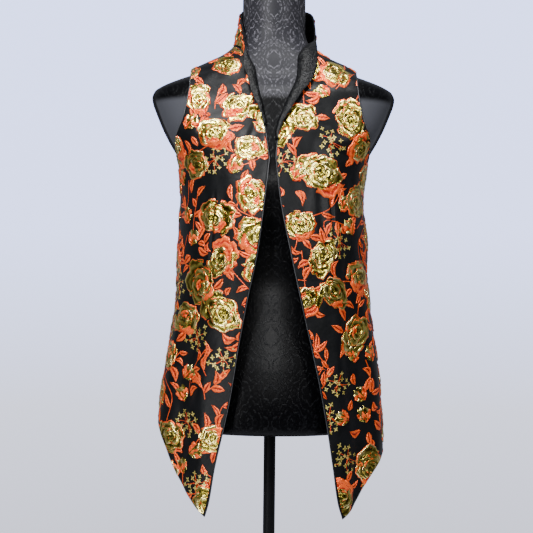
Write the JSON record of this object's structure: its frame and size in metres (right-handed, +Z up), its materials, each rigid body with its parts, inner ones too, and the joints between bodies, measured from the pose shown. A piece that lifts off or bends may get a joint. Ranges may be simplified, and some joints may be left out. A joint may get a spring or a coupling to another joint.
{
  "type": "brocade vest on a dress form",
  "caption": "Sleeveless open-front floral brocade vest with a stand collar and pointed front hems, worn on a limbless dress form on a pole and round base.",
  "frame": {"origin": "centre of the base's underside", "axes": "+Z up along the pole, -Y the way the vest faces, +X the wearer's left"},
  "size_m": [0.384, 0.28, 1.13],
  "materials": {
    "brocade": "black satin-ground brocade with raised gold and orange floral weave",
    "back_cloth": "plain black satin weave",
    "facing_cloth": "black crinkled lining cloth",
    "form_cover": "black damask cover cloth, satin and velvet",
    "stand_metal": "satin black paint"
  },
  "bodies": {
    "root": {"front_right": "brocade", "front_left": "brocade", "collar": "brocade", "back": "back_cloth", "collar_facing": "facing_cloth", "dress_form": "form_cover", "pole": "stand_metal", "base": "stand_metal"}
  },
  "joints": []
}
